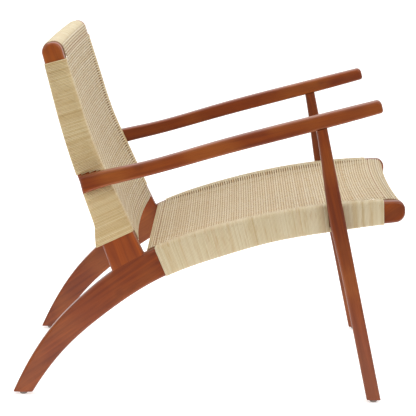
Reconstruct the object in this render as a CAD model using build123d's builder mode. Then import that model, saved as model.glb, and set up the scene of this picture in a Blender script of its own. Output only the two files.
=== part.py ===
"""Low wooden lounge armchair with a woven strand seat and back, in millimetres.

The origin is on the floor under the middle of the chair, +Z is up and the chair faces -Y.
Each side of the frame is an arched piece (seat rail and rear leg in one), a curved back
stile that stands on it, a leaning front leg and an armrest. Four cross rails join the two
sides. The sitter's right is -X: the right-hand pieces are drawn, the left ones mirror them.
Side outlines are drawn in the YZ plane, so a point (a, b) of an outline is (Y, Z).
"""
from build123d import *
from math import atan2, cos, degrees, hypot, radians, sin
import os

os.makedirs("parts", exist_ok=True)

# ---------------------------------------------------------------- driving sizes
frame_width = 572.0      # over the outer faces of the two side frames
chair_depth = 795.0      # nose of the seat rails to the heels of the rear legs
chair_height = 726.5     # floor to the tops of the back stiles
side_t = 27.0            # thickness of seat rails, rear legs and stiles
arm_t = 28.5             # thickness of armrests and front legs

arch_foot_w = 33.0       # rear leg at the floor, square to its run
arch_knee_w = 62.0       # arch under the stile, its deepest place
arch_mid_w = 53.5        # seat rail halfway along
arch_nose_w = 42.0       # seat rail at its nose
nose_top_r = 17.0
nose_bottom_r = 21.0

stile_root_w = 73.0      # stile where it stands on the arch
stile_arm_w = 57.5       # stile at the armrest
stile_top_w = 41.0       # stile just under its top
stile_rear_r = 18.0      # rounding of the stile's top, rear corner
stile_front_r = 19.0     # rounding of the stile's top, front corner

arm_rear_w = 35.5        # height of the armrest at the stile
arm_mid_w = 29.0
arm_tip_w = 25.5
arm_tip_r = 9.0          # rounding of the tip, upper corner
arm_tip_low_r = 6.0

leg_foot_w = 28.0        # front leg, square to its run
leg_rail_w = 31.5        # at the seat rail, where it swells
leg_top_w = 22.0         # under the armrest

side_edge_r = 5.0        # round-over of the side frame's long edges
joint_block_h = 12.5     # full thickness left under the stile
arm_edge_r = 5.0         # round-over of armrests and front legs

top_rail_h = 38.0        # back top rail, along the stile
top_rail_bow = 3.0       # how far its middle stands behind its ends
low_rail_h = 32.0        # back lower rail, along the stile
low_rail_t = 26.0        # back lower rail, front to back
low_rail_bow = 12.0
front_rail_t = 30.0      # seat front rail, front to back
front_rail_h = 38.0
front_rail_bow = 8.0
front_rail_setback = 7.5  # front rail's ends behind the noses
rear_rail_t = 24.0       # seat rear rail, along the seat
rear_rail_h = 42.0
rail_round = 14.0        # outer corners of the cross rails, under the weave
rail_ease = 4.0          # inner corners of the cross rails

tenon_l = 16.0
tenon_t = 12.0
tenon_h = 22.0
tenon_gap = 0.2          # mortise round its tenon, each side

wrap_t = 2.4             # strand turns round the wood
wrap_gap = 0.3           # strand clear of the wood under it
panel_t = 2.4            # woven panel: strands over and under each other
seat_edge_fall = 6.5     # seat panel below the rails, just inside them
back_edge_fall = 4.0     # back panel behind the stiles' front edges, just inside them
edge_run = 16.0          # width over which a panel falls
seat_sag = 3.5           # middle of the seat panel below its edges
leg_wrap_gap = 4.0       # bare rail in front of the front leg
nose_wrap_gap = 6.0      # side turns stop this far behind the front rail

dowel_d = 10.0
stile_dowel_up = 22.0    # depth in the stile
stile_dowel_down = 28.0  # depth in the arch
stile_dowel_pitch = 34.0
leg_dowel_up = 16.0      # depth in the armrest
leg_dowel_down = 24.0    # depth in the front leg
dowel_gap = 0.1          # hole round its dowel, each side

bolt_d = 6.0
bolt_head_d = 12.0
bolt_head_h = 4.0
bolt_recess = 0.5        # head below the wood
bolt_grip = 14.0         # thread held by the insert
bolt_pitch = 26.0
bolt_gap = 0.25          # hole round shank and head, each side
insert_d = 10.0
insert_l = 16.0

glide_d = 16.0
glide_h = 7.0
glide_flat_d = 9.0       # flat face of the glide on the floor
glide_skin = 2.0         # glide under the nail
nail_d = 2.6
nail_l = 18.0

# ---------------------------------------------------------------- shared planes and places
outer_x = frame_width / 2            # outer face of a side frame
inner_x = outer_x - side_t           # its inner face
side_mid_x = outer_x - side_t / 2
arm_outer_x = outer_x + arm_t
arm_mid_x = outer_x + arm_t / 2
wrap_out = wrap_gap + wrap_t         # outer skin of a strand layer above the wood
nose_y = -chair_depth / 2
foot_z = glide_h                     # the wood stops on top of the glides
BELOW = 25.0                         # how far an outline runs past a cut


def at(y, z):
    """A point of a side outline, drawn for a chair 795 deep and 726.5 high, at this chair's size."""
    return (y * chair_depth / 795.0, z * chair_height / 726.5)


def beside(points, widths):
    """Points at the given distances to the left of a chain of points, square to its run."""
    result = []
    for i, width in enumerate(widths):
        before, after = points[max(i - 1, 0)], points[min(i + 1, len(points) - 1)]
        run_y, run_z = after[0] - before[0], after[1] - before[1]
        run = hypot(run_y, run_z)
        y, z = points[i]
        result.append((y - width * run_z / run, z + width * run_y / run))
    return result


def blend(a, b, share):
    return a + (b - a) * share


# Arch: upper edge from under the heel to the nose, and the lower edge at its own depths below.
arch_upper = [at(405.7, -12), at(381, 42), at(352.5, 93.5), at(308.5, 155), at(253.5, 211.5),
              at(194, 261.3), at(105, 310.5), at(-5, 350.3), at(-125, 382), at(-245, 403.2),
              at(-340, 412), at(-396.7, 414)]
arch_depths = [arch_foot_w, blend(arch_foot_w, arch_knee_w, 0.2),
               blend(arch_foot_w, arch_knee_w, 0.4), blend(arch_foot_w, arch_knee_w, 0.66),
               blend(arch_foot_w, arch_knee_w, 0.87), arch_knee_w,
               blend(arch_knee_w, arch_mid_w, 0.3), blend(arch_knee_w, arch_mid_w, 0.55),
               arch_mid_w, blend(arch_mid_w, arch_nose_w, 0.1),
               blend(arch_mid_w, arch_nose_w, 0.6), arch_nose_w]
arch_lower = beside(arch_upper, arch_depths)

# Stile: front edge from inside the arch up to its top, and the rear edge at its own widths behind.
stile_front = [at(118, 275), at(130.4, 300.7), at(151.9, 345), at(196.2, 440), at(231.2, 517.8),
               at(260.3, 606.3), at(287.5, 693.5), at(301, 740)]
stile_widths = [blend(stile_root_w, stile_arm_w, -0.2), stile_root_w,
                blend(stile_root_w, stile_arm_w, 0.35), stile_arm_w,
                blend(stile_arm_w, stile_top_w, 0.48), blend(stile_arm_w, stile_top_w, 0.70),
                stile_top_w, stile_top_w]
stile_rear = beside(stile_front, [-width for width in stile_widths])

# Armrest: upper edge from the stile to the tip, and the lower edge at its own depths below.
arm_upper = [at(258.5, 460), at(209, 472.5), at(144, 487), at(-3, 530), at(-196, 583.3),
             at(-340, 621)]
arm_depths = [arm_rear_w, blend(arm_rear_w, arm_mid_w, 0.7), arm_mid_w - 0.5, arm_mid_w,
              arm_mid_w, arm_tip_w]
arm_lower = beside(arm_upper, arm_depths)

# Front leg: a straight front edge, and the rear edge at its own widths behind.
leg_front = [at(-361.4, -18), at(-328.6, 133), at(-288.8, 317), at(-275.4, 379), at(-257.9, 460),
             at(-230.2, 588)]
leg_widths = [leg_foot_w, leg_foot_w, blend(leg_foot_w, leg_rail_w, 0.5), leg_rail_w,
              blend(leg_rail_w, leg_top_w, 0.42), leg_top_w]
leg_rear = beside(leg_front, [-width for width in leg_widths])


def drawn_edge(points):
    """A smooth edge through the points, kept outside any sketch to measure places along it."""
    with BuildLine() as line:
        Spline(*points)
    return line.edges()[0]


arch_upper_edge = drawn_edge(arch_upper)
arch_lower_edge = drawn_edge(arch_lower)
stile_front_edge = drawn_edge(stile_front)
stile_rear_edge = drawn_edge(stile_rear)
arm_lower_edge = drawn_edge(arm_lower)
leg_front_edge = drawn_edge(leg_front)
leg_rear_edge = drawn_edge(leg_rear)


def share_at(edge, axis, value):
    """How far along an edge (0 to 1) it reaches a Y (axis 0) or Z (axis 1) value."""
    low, high = 0.0, 1.0
    rising = tuple(edge @ 1)[axis] > tuple(edge @ 0)[axis]
    for _ in range(40):
        middle = (low + high) / 2
        if (tuple(edge @ middle)[axis] < value) == rising:
            low = middle
        else:
            high = middle
    return (low + high) / 2


def run_angle(edge, share):
    """Direction of an edge at a place along it, in degrees from +Y towards +Z."""
    run = edge % share
    return degrees(atan2(run.Y, run.X))


def moved(point, angle, distance):
    """A point shifted in the side view by a distance along an angle."""
    return (point[0] + distance * cos(radians(angle)), point[1] + distance * sin(radians(angle)))


def side_plane(point, angle, x):
    """Section plane at X = x: local x runs along the angle in the side view, local z is +X."""
    along = (0, cos(radians(angle)), sin(radians(angle)))
    return Plane(origin=(x, point[0], point[1]), x_dir=along, z_dir=(1, 0, 0))


def rod_plane(point, angle, x, start):
    """Plane square to an angle in the side view, shifted along it from the point."""
    along = (0, cos(radians(angle)), sin(radians(angle)))
    y, z = moved(point, angle, start)
    return Plane(origin=(x, y, z), x_dir=(1, 0, 0), z_dir=along)


# ---------------------------------------------------------------- where pieces meet
# The stile's foot on the arch.
seam_low = share_at(arch_upper_edge, 0, at(194, 0)[0])
seam_high = share_at(arch_upper_edge, 0, at(131, 0)[0])
seam_mid = (seam_low + seam_high) / 2
seam_point = tuple(arch_upper_edge @ seam_mid)[:2]
seam_angle = run_angle(arch_upper_edge, seam_mid)
seam_up = seam_angle - 90

# The stile's wrapping runs from the lower rail up to the top rail.
stile_wrap_low = share_at(stile_front_edge, 1, at(0, 345.6)[1])
stile_wrap_high = share_at(stile_front_edge, 1, at(0, 694)[1])
low_rail_angle = run_angle(stile_front_edge, stile_wrap_low)
top_rail_angle = run_angle(stile_front_edge, stile_wrap_high)

# The armrest's rear end lies on the stile's outer face.
arm_joint_angle = degrees(atan2(arm_upper[1][1] - arm_upper[0][1],
                                arm_upper[1][0] - arm_upper[0][0]))
arm_joint_top = (blend(arm_upper[0][0], arm_upper[1][0], 0.5),
                 blend(arm_upper[0][1], arm_upper[1][1], 0.5))
arm_joint = moved(arm_joint_top, arm_joint_angle + 90, arm_rear_w / 2)

# The seat rail's wrapping runs from the rear rail to the front rail.
rear_rail_share = share_at(arch_upper_edge, 0, at(107, 0)[0])
rear_rail_angle = run_angle(arch_upper_edge, rear_rail_share)
rail_wrap_front_y = nose_y + front_rail_setback + front_rail_t + nose_wrap_gap

# The front leg crosses the seat rail.
leg_angle = degrees(atan2(leg_front[-1][1] - leg_front[0][1], leg_front[-1][0] - leg_front[0][0]))
leg_cross = (leg_front[3][0] + leg_rail_w / 2, leg_front[3][1])

# Cross rails: centre of each end section, angle of its local x, size across and along.
low_front = moved(tuple(stile_front_edge @ stile_wrap_low)[:2], low_rail_angle, -low_rail_h / 2)
low_centre = moved(low_front, low_rail_angle - 90, low_rail_t / 2)
top_front = moved(tuple(stile_front_edge @ stile_wrap_high)[:2], top_rail_angle, top_rail_h / 2)
top_centre = moved(top_front, top_rail_angle - 90, stile_top_w / 2)
front_rail_y = nose_y + front_rail_setback + front_rail_t / 2
front_top_share = share_at(arch_upper_edge, 0, front_rail_y + front_rail_t / 2 + front_rail_bow)
front_centre = (front_rail_y, tuple(arch_upper_edge @ front_top_share)[1] - front_rail_h / 2)
rear_top = moved(tuple(arch_upper_edge @ rear_rail_share)[:2], rear_rail_angle, -rear_rail_t / 2)
rear_centre = moved(rear_top, rear_rail_angle + 90, rear_rail_h / 2)

# name: centre, angle of local x, size along local x, size along local y, bow and its angle,
# corner radii (low-x low-y, high-x low-y, high-x high-y, low-x high-y)
RAILS = {
    "back_top_rail": (top_centre, top_rail_angle - 90, stile_top_w, top_rail_h,
                      top_rail_bow, top_rail_angle - 90,
                      (rail_ease, rail_ease, stile_rear_r, stile_front_r)),
    "back_lower_rail": (low_centre, low_rail_angle - 90, low_rail_t, low_rail_h,
                        low_rail_bow, low_rail_angle - 90,
                        (rail_round, rail_ease, rail_ease, rail_ease)),
    "seat_front_rail": (front_centre, 0.0, front_rail_t, front_rail_h, front_rail_bow, 0.0,
                        (rail_round, rail_ease, rail_ease, rail_round)),
    "seat_rear_rail": (rear_centre, rear_rail_angle + 180, rear_rail_t, rear_rail_h, 0.0, 0.0,
                       (rail_ease, rail_ease, rail_round, rail_ease)),
}


# ---------------------------------------------------------------- shared drawing
def draw_outline(one_edge, other_edge):
    """Closed outline between two chains of points, drawn into the current BuildSketch."""
    with BuildLine() as outline:
        first = Spline(*one_edge)
        second = Spline(*other_edge)
        Line(first @ 0, second @ 0)
        Line(first @ 1, second @ 1)
    make_face(outline.edges())


def draw_section(width, height, radii, grow):
    """Rectangle on the origin, grown all round, with its own rounding at each corner."""
    half_w, half_h = width / 2 + grow, height / 2 + grow
    corners = [(-half_w, -half_h), (half_w, -half_h), (half_w, half_h), (-half_w, half_h)]
    with BuildLine() as outline:
        FilletPolyline(*corners, radius=[radii[i] + grow for i in range(4)], close=True)
    make_face(outline.edges())


def cut_below(z):
    """Cuts the current sketch level at a height, as where a foot stands on its glide."""
    with Locations((0, z - 5 * BELOW)):
        Rectangle(3 * chair_depth, 10 * BELOW, mode=Mode.SUBTRACT)


def write(part, name):
    part.label = name
    export_step(part, f"parts/{name}.step")


def write_pair(part, name):
    """Writes the right-hand piece and its mirror image for the left-hand side."""
    with BuildPart() as left:
        mirror(part, about=Plane.YZ)
    write(part, f"right_{name}")
    write(left.part, f"left_{name}")


def both_sides(part):
    """A part and its mirror image as one group of separate solids."""
    with BuildPart() as group:
        add(part)
        mirror(part, about=Plane.YZ)
    return group.part


def cut_mortise(rail, side_x):
    """Pocket for a rail's tenon in the side frame at the right, from its inner face outwards."""
    centre, angle = RAILS[rail][0], RAILS[rail][1]
    with BuildSketch(side_plane(centre, angle, side_x)) as pocket:
        Rectangle(tenon_t + 2 * tenon_gap, tenon_h + 2 * tenon_gap)
    extrude(pocket.sketch, amount=-(tenon_l + tenon_gap), mode=Mode.SUBTRACT)


def drill_side(point, x, diameter, depth):
    """Hole along X from the plane at x, towards -X for a positive depth."""
    with BuildSketch(side_plane(point, 0, x)) as hole:
        Circle(diameter / 2)
    extrude(hole.sketch, amount=-depth, mode=Mode.SUBTRACT)


def drill_along(point, angle, x, diameter, up, down):
    """Hole square to a joint face, along an angle in the side view, both ways from the point."""
    with BuildSketch(rod_plane(point, angle, x, -down)) as hole:
        Circle(diameter / 2)
    extrude(hole.sketch, amount=down + up, mode=Mode.SUBTRACT)


stile_dowels_at = [moved(seam_point, seam_angle, shift) for shift in
                   (-stile_dowel_pitch / 2, stile_dowel_pitch / 2)]
leg_bolts_at = [moved(leg_cross, leg_angle, shift) for shift in (-bolt_pitch / 2, bolt_pitch / 2)]
arm_bolts_at = [moved(arm_joint, arm_joint_angle, shift) for shift in
                (-bolt_pitch / 2, bolt_pitch / 2)]


def middle_at(one_edge, other_edge, z):
    """Y halfway between two edges at a height."""
    return (tuple(one_edge @ share_at(one_edge, 1, z))[0]
            + tuple(other_edge @ share_at(other_edge, 1, z))[0]) / 2


leg_top_z = tuple(arm_lower_edge @ share_at(arm_lower_edge, 0, leg_front[-1][0]))[1]
leg_top_y = middle_at(leg_front_edge, leg_rear_edge, leg_top_z)
leg_top_point = tuple(arm_lower_edge @ share_at(arm_lower_edge, 0, leg_top_y))[:2]

# name: X and Y of each right-hand glide
GLIDES = {
    "rear_glide": (-side_mid_x, middle_at(arch_upper_edge, arch_lower_edge, foot_z)),
    "front_glide": (-arm_mid_x, middle_at(leg_front_edge, leg_rear_edge, foot_z)),
}


def drill_bolt_side(points):
    """Counterbored holes through a side frame, from its inner face outwards."""
    for point in points:
        drill_side(point, -inner_x, bolt_head_d + 2 * bolt_gap, bolt_head_h + bolt_recess)
        drill_side(point, -inner_x, bolt_d + 2 * bolt_gap, side_t)


def drill_foot(x, y):
    """Nail hole up into a foot."""
    with BuildSketch(Plane((x, y, foot_z))) as hole:
        Circle(nail_d / 2)
    extrude(hole.sketch, amount=nail_l, mode=Mode.SUBTRACT)


def drill_insert_side(points):
    """Blind holes for the threaded inserts, from the inner face of an armrest or front leg."""
    for point in points:
        drill_side(point, -outer_x, insert_d, insert_l)


# ---------------------------------------------------------------- side frames
with BuildPart() as arch:
    with BuildSketch(Plane.YZ.offset(-outer_x)) as outline:
        draw_outline(arch_upper, arch_lower)
        cut_below(foot_z)
        fillet(outline.vertices().sort_by(Axis.X)[:2].sort_by(Axis.Y)[-1], nose_top_r)
        fillet(outline.vertices().sort_by(Axis.X)[0], nose_bottom_r)
    extrude(amount=side_t)
    long_edges = arch.faces().filter_by(Axis.X).edges().filter_by(lambda e: e.center().Z > 3 * foot_z)
    fillet(long_edges, side_edge_r)
    # Under the stile the arch keeps its full thickness, so the joint closes.
    with BuildSketch(Plane.YZ.offset(-outer_x)):
        draw_outline(arch_upper, beside(arch_upper, [joint_block_h] * len(arch_upper)))
        with BuildSketch(mode=Mode.INTERSECT):
            draw_outline(stile_front, stile_rear)
    extrude(amount=side_t)
    cut_mortise("seat_front_rail", -inner_x)
    cut_mortise("seat_rear_rail", -inner_x)
    drill_bolt_side(leg_bolts_at)
    for dowel_at in stile_dowels_at:
        drill_along(dowel_at, seam_up, -side_mid_x, dowel_d + 2 * dowel_gap,
                    BELOW, stile_dowel_down + dowel_gap)
    drill_foot(*GLIDES["rear_glide"])
write_pair(arch.part, "seat_rail_and_rear_leg")

with BuildPart() as stile:
    with BuildSketch(Plane.YZ.offset(-outer_x)) as outline:
        draw_outline(stile_front, stile_rear)
        with BuildSketch(mode=Mode.SUBTRACT):
            draw_outline(arch_upper, arch_lower)
        top_line = moved(top_front, top_rail_angle, top_rail_h / 2 + 5 * BELOW)
        with Locations(Location((top_line[0], top_line[1], 0), (0, 0, top_rail_angle - 90))):
            Rectangle(20 * BELOW, 10 * BELOW, mode=Mode.SUBTRACT)
        fillet(outline.vertices().sort_by(Axis.X)[-1], stile_rear_r)
        fillet(outline.vertices().sort_by(Axis.Y)[-1], stile_front_r)
    extrude(amount=side_t)
    seam_top_z = tuple(arch_upper_edge @ seam_high)[1]
    long_edges = stile.faces().filter_by(Axis.X).edges().filter_by(
        lambda e: e.center().Z > seam_top_z)
    fillet(long_edges, side_edge_r)
    cut_mortise("back_top_rail", -inner_x)
    cut_mortise("back_lower_rail", -inner_x)
    drill_bolt_side(arm_bolts_at)
    for dowel_at in stile_dowels_at:
        drill_along(dowel_at, seam_up, -side_mid_x, dowel_d + 2 * dowel_gap,
                    stile_dowel_up + dowel_gap, BELOW)
write_pair(stile.part, "back_stile")

with BuildPart() as arm:
    with BuildSketch(Plane.YZ.offset(-arm_outer_x)) as outline:
        draw_outline(arm_upper, arm_lower)
        fillet(outline.vertices().sort_by(Axis.Y)[-1], arm_tip_r)
        fillet(outline.vertices().sort_by(Axis.X)[0], arm_tip_low_r)
    extrude(amount=arm_t)
    fillet(arm.faces().filter_by(Axis.X).edges(), arm_edge_r)
    drill_insert_side(arm_bolts_at)
    drill_along(leg_top_point, leg_angle, -arm_mid_x, dowel_d + 2 * dowel_gap,
                leg_dowel_up + dowel_gap, BELOW)
write_pair(arm.part, "armrest")

with BuildPart() as leg:
    with BuildSketch(Plane.YZ.offset(-arm_outer_x)):
        draw_outline(leg_front, leg_rear)
        cut_below(foot_z)
        with BuildSketch(mode=Mode.SUBTRACT):
            draw_outline(arm_upper, arm_lower)
    extrude(amount=arm_t)
    long_edges = leg.edges().filter_by(lambda e: abs(e.tangent_at(0.5).Z) > 0.8)
    fillet(long_edges, arm_edge_r)
    drill_insert_side(leg_bolts_at)
    drill_along(leg_top_point, leg_angle, -arm_mid_x, dowel_d + 2 * dowel_gap,
                BELOW, leg_dowel_down + dowel_gap)
    drill_foot(*GLIDES["front_glide"])
write_pair(leg.part, "front_leg")


# ---------------------------------------------------------------- cross rails
def rail_solid(name, grow, half_length, mode):
    """A cross rail's body between X = -half_length and +half_length, grown by a skin if asked."""
    centre, angle, size_x, size_y, bow, bow_angle, radii = RAILS[name]
    stations = [-half_length, 0.0, half_length] if bow else [-half_length, half_length]
    sections = []
    for x in stations:
        shift = bow * (1 - (x / inner_x) ** 2)
        with BuildSketch(side_plane(moved(centre, bow_angle, shift), angle, x)) as section:
            draw_section(size_x, size_y, radii, grow)
        sections.append(section.sketch)
    loft(sections, mode=mode)


for rail_name in RAILS:
    with BuildPart() as rail:
        rail_solid(rail_name, 0.0, inner_x, Mode.ADD)
        for side in (-1, 1):
            with BuildSketch(side_plane(RAILS[rail_name][0], RAILS[rail_name][1], side * inner_x)):
                Rectangle(tenon_t, tenon_h)
            extrude(amount=side * tenon_l)
    write(rail.part, rail_name)


# ---------------------------------------------------------------- dowels, bolts, inserts, glides
def rod(plane, diameter, length):
    """Plain round rod standing on a plane, added to the current part."""
    with BuildSketch(plane) as end:
        Circle(diameter / 2)
    extrude(end.sketch, amount=length)


with BuildPart() as stile_dowels:
    for dowel_at in stile_dowels_at:
        rod(rod_plane(dowel_at, seam_up, -side_mid_x, -stile_dowel_down), dowel_d,
            stile_dowel_down + stile_dowel_up)
write(both_sides(stile_dowels.part), "stile_dowels")

with BuildPart() as leg_dowels:
    rod(rod_plane(leg_top_point, leg_angle, -arm_mid_x, -leg_dowel_down), dowel_d,
        leg_dowel_down + leg_dowel_up)
write(both_sides(leg_dowels.part), "front_leg_dowels")


def write_fasteners(points, name):
    """Bolts with their heads sunk in the side frame, and the inserts they screw into."""
    with BuildPart() as bolts:
        for point in points:
            rod(side_plane(point, 0, -inner_x - bolt_recess - bolt_head_h), bolt_head_d, bolt_head_h)
            rod(side_plane(point, 0, -outer_x - bolt_grip), bolt_d,
                bolt_grip + side_t - bolt_recess - bolt_head_h)
    with BuildPart() as inserts:
        for point in points:
            rod(side_plane(point, 0, -outer_x - insert_l), insert_d, insert_l)
            with BuildSketch(side_plane(point, 0, -outer_x - insert_l)):
                Circle(bolt_d / 2)
            extrude(amount=insert_l, mode=Mode.SUBTRACT)
    write(both_sides(bolts.part), f"{name}_bolts")
    write(both_sides(inserts.part), f"{name}_inserts")


write_fasteners(leg_bolts_at, "front_leg")
write_fasteners(arm_bolts_at, "armrest")


for glide_name, glide_at in GLIDES.items():
    with BuildPart() as glide:
        with BuildSketch(Plane((*glide_at, 0))):
            Circle(glide_d / 2)
        extrude(amount=glide_h)
        fillet(glide.edges().sort_by(Axis.Z)[0], (glide_d - glide_flat_d) / 2)
        with BuildSketch(Plane((*glide_at, glide_skin))):
            Circle(nail_d / 2)
        extrude(amount=glide_h, mode=Mode.SUBTRACT)
    write_pair(glide.part, glide_name)

with BuildPart() as nails:
    for glide_at in GLIDES.values():
        rod(Plane((*glide_at, glide_skin)), nail_d, glide_h - glide_skin + nail_l)
write(both_sides(nails.part), "glide_nails")


# ---------------------------------------------------------------- woven strand, as plain solids
panel_half = inner_x - wrap_out - wrap_gap   # panels and rail wraps stop at the side wraps
panel_rows = 9


def shares_between(low, high):
    return [blend(low, high, i / (panel_rows - 1)) for i in range(panel_rows)]


def panel_section(edge, shares, side, sinks, x):
    """Strip lying on an edge of the side frame; each place can sink towards the wood side."""
    skins = []
    for height in (wrap_gap, wrap_gap + panel_t):
        skins.append([moved(tuple(edge @ share)[:2], run_angle(edge, share) + side, height - sink)
                      for share, sink in zip(shares, sinks)])
    with BuildSketch(Plane.YZ.offset(x)) as section:
        draw_outline(*skins)
    return section.sketch


def panel_solid(edge, side, shares_at, sink_at):
    """Panel through sections across the chair, with straight sides between them."""
    inside = 1 - edge_run / panel_half
    sections = []
    for across in (-1.0, -inside, -inside / 2, 0.0, inside / 2, inside, 1.0):
        x = across * panel_half
        fall = 0.0 if abs(across) == 1.0 else 1.0
        sinks = [sink_at(i / (panel_rows - 1), fall, 1 - across ** 2) for i in range(panel_rows)]
        sections.append(panel_section(edge, shares_at(x), side, sinks, x))
    loft(sections, ruled=True)


def row_share(row):
    """How much of the fall or sag there is along a panel: none at its ends, all in its middle."""
    return 1 - (2 * row - 1) ** 4


# The back panel runs from the lower rail's turns to the top rail's.
rail_gap = wrap_out + wrap_gap
back_low = share_at(stile_front_edge, 1, moved(tuple(stile_front_edge @ stile_wrap_low)[:2],
                                               low_rail_angle, rail_gap)[1])
back_high = share_at(stile_front_edge, 1, moved(tuple(stile_front_edge @ stile_wrap_high)[:2],
                                                top_rail_angle, -rail_gap)[1])
with BuildPart() as back_weave:
    panel_solid(stile_front_edge, 90, lambda x: shares_between(back_low, back_high),
                lambda row, fall, bulge: (fall * back_edge_fall * row_share(row)
                                          + bulge * blend(low_rail_bow, top_rail_bow, row)))
write(back_weave.part, "back_weave")

# The seat panel runs from the rear rail's turns to the front rail's, which bow with the rail.
seat_rear = share_at(arch_upper_edge, 0, moved(tuple(arch_upper_edge @ rear_rail_share)[:2],
                                               rear_rail_angle, rail_gap)[0])


def seat_front(x):
    bow = front_rail_bow * (1 - (x / inner_x) ** 2)
    return share_at(arch_upper_edge, 0, nose_y + front_rail_setback + front_rail_t + bow + rail_gap)


with BuildPart() as seat_weave:
    panel_solid(arch_upper_edge, -90, lambda x: shares_between(seat_rear, seat_front(x)),
                lambda row, fall, bulge: (fall * seat_edge_fall + bulge * seat_sag) * row_share(row))
write(seat_weave.part, "seat_weave")

# A skin of strand goes right round each cross rail.
for rail_name in RAILS:
    with BuildPart() as rail_wrap:
        rail_solid(rail_name, wrap_out, panel_half, Mode.ADD)
        rail_solid(rail_name, wrap_gap, panel_half, Mode.SUBTRACT)
    write(rail_wrap.part, f"{rail_name}_wrap")


def between_lines(edge, low, high):
    """Area between two lines square to an edge, drawn into the current BuildSketch."""
    corners = []
    for share, order in ((low, (-1, 1)), (high, (1, -1))):
        for direction in order:
            corners.append(moved(tuple(edge @ share)[:2], run_angle(edge, share) + 90,
                                 direction * 5 * BELOW))
    with BuildLine() as outline:
        Polyline(*corners, close=True)
    make_face(outline.edges())


def side_wrap(one_points, other_points, one_out, edge, low, high):
    """Strand skin round a right-hand side piece, between two lines square to its edge."""
    for grow, mode in ((wrap_out, Mode.ADD), (wrap_gap, Mode.SUBTRACT)):
        with BuildSketch(Plane.YZ.offset(-outer_x - grow)) as band:
            draw_outline(beside(one_points, [one_out * grow] * len(one_points)),
                         beside(other_points, [-one_out * grow] * len(other_points)))
            if grow == wrap_out:
                with BuildSketch(mode=Mode.INTERSECT):
                    between_lines(edge, low, high)
        extrude(band.sketch, amount=side_t + 2 * grow, mode=mode)


def cut_wrap(outline, depth):
    """Takes an area of the side view out of a wrap, from its sketch plane inwards."""
    extrude(outline.sketch, amount=depth, mode=Mode.SUBTRACT)


# Round the stile; bare where the armrest lies on its outer face and comes to its rear edge.
step = wrap_gap / stile_front_edge.length
with BuildPart() as stile_wrap:
    side_wrap(stile_front, stile_rear, 1, stile_front_edge,
              stile_wrap_low + step, stile_wrap_high - step)
    arm_place = Plane.YZ.offset(-outer_x - 2 * wrap_out)
    with BuildSketch(arm_place) as arm_bare:
        with Locations(Location((*arm_joint, 0), (0, 0, arm_joint_angle))):
            Rectangle(6 * BELOW, arm_rear_w + 2 * wrap_gap)
    cut_wrap(arm_bare, 2 * wrap_out)
    with BuildSketch(arm_place) as arm_bare_rear:
        with Locations(Location((*arm_joint, 0), (0, 0, arm_joint_angle))):
            with Locations((-stile_arm_w / 2, 0)):
                Rectangle(stile_arm_w / 2, arm_rear_w + 2 * wrap_gap)
    cut_wrap(arm_bare_rear, side_t + 4 * wrap_out)
write_pair(stile_wrap.part, "stile_wrap")

# Round the seat rail; bare where the front leg lies on its outer face, and a little in front of it.
step = wrap_gap / arch_upper_edge.length
with BuildPart() as rail_side_wrap:
    side_wrap(arch_upper, arch_lower, -1, arch_upper_edge, rear_rail_share + step,
              share_at(arch_upper_edge, 0, rail_wrap_front_y))
    with BuildSketch(Plane.YZ.offset(-outer_x - 2 * wrap_out)) as leg_bare:
        draw_outline(beside(leg_front, [leg_wrap_gap] * len(leg_front)),
                     beside(leg_rear, [-wrap_gap] * len(leg_rear)))
    cut_wrap(leg_bare, 2 * wrap_out)
write_pair(rail_side_wrap.part, "seat_rail_wrap")
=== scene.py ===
"""Woven lounge armchair: strand weave, finishes, floor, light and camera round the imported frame.

Lengths are in metres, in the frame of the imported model: the floor is z = 0, the chair faces -y
and the sitter's right is -x. Every strand is swept along a path, and the paths are worked out as
whole arrays from the edges of the wooden frame.
"""

import bpy
import numpy as np
from mathutils import Matrix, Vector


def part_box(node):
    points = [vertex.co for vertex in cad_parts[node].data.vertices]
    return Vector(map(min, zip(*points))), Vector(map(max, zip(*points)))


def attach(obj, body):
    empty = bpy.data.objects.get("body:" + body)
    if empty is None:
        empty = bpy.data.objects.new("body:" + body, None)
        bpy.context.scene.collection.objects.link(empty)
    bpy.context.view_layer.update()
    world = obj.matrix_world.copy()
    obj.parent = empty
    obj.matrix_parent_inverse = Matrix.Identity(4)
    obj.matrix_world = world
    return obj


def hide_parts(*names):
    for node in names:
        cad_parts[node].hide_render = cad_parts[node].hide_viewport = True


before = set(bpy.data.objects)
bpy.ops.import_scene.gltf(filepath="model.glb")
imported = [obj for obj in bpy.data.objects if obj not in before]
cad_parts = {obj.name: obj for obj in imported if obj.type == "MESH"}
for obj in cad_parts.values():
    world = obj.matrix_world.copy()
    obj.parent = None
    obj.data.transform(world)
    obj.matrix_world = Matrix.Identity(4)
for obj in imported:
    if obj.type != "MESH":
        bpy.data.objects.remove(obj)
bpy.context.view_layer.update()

MM = 0.001

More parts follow.
